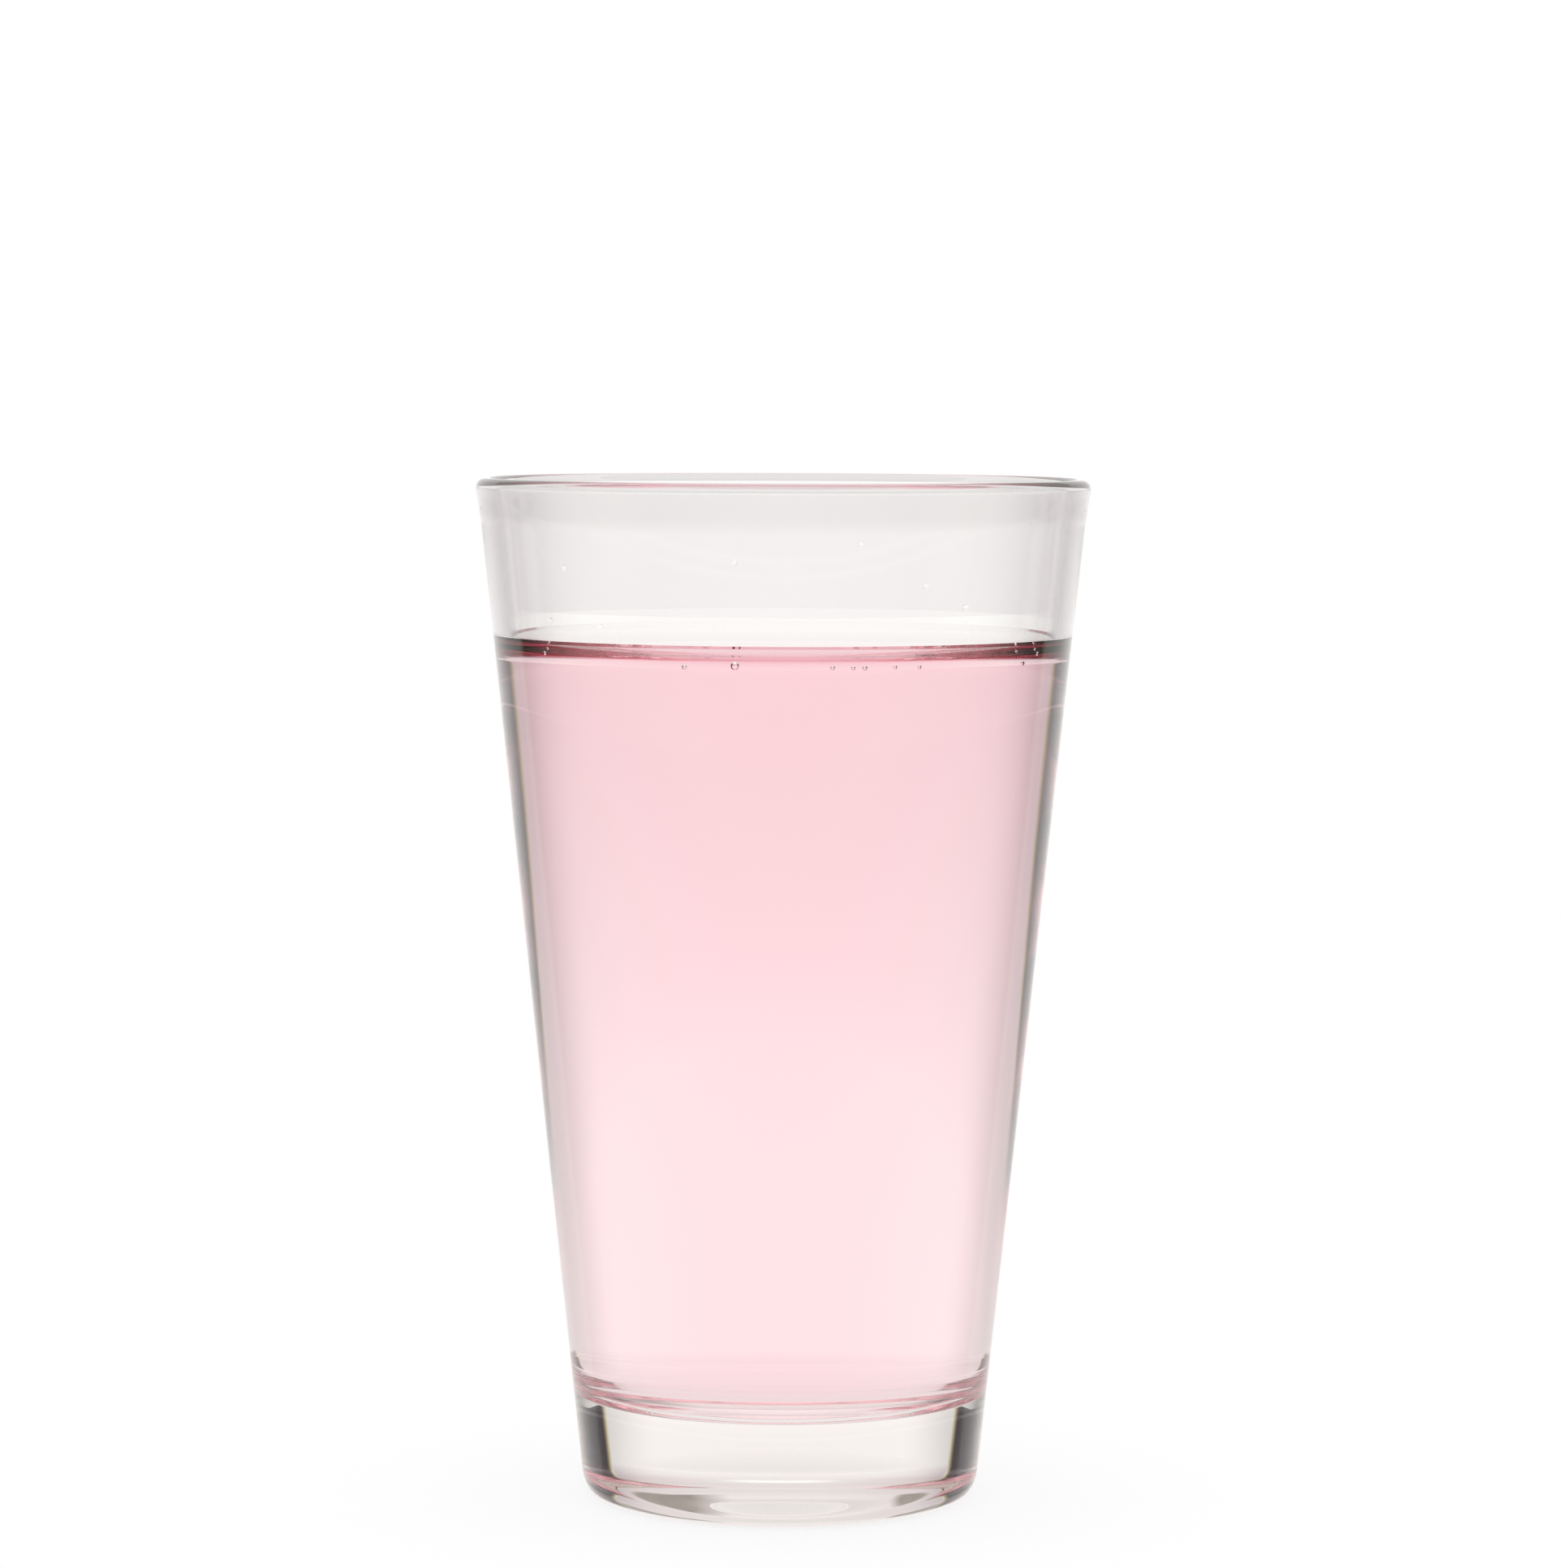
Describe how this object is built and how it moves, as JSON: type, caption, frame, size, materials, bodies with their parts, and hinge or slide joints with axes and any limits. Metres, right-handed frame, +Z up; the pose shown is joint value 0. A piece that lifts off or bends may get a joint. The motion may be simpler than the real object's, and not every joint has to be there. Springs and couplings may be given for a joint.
{
  "type": "drinking glass",
  "caption": "Tall conical drinking glass of clear glass with a rounded rim and a heavy solid base, filled most of the way with a pale pink drink.",
  "frame": {"origin": "centre of the ring that the glass stands on, at the table plane", "axes": "+Z up along the glass's axis, towards the rim; +Y away from the picture's camera; +X to its right"},
  "size_m": [0.09, 0.09, 0.15],
  "materials": {
    "clear_glass": "polished",
    "pink_drink": "polished"
  },
  "bodies": {
    "root": {"tumbler": "clear_glass", "drink": "pink_drink", "splash_drops": "pink_drink"}
  },
  "joints": []
}
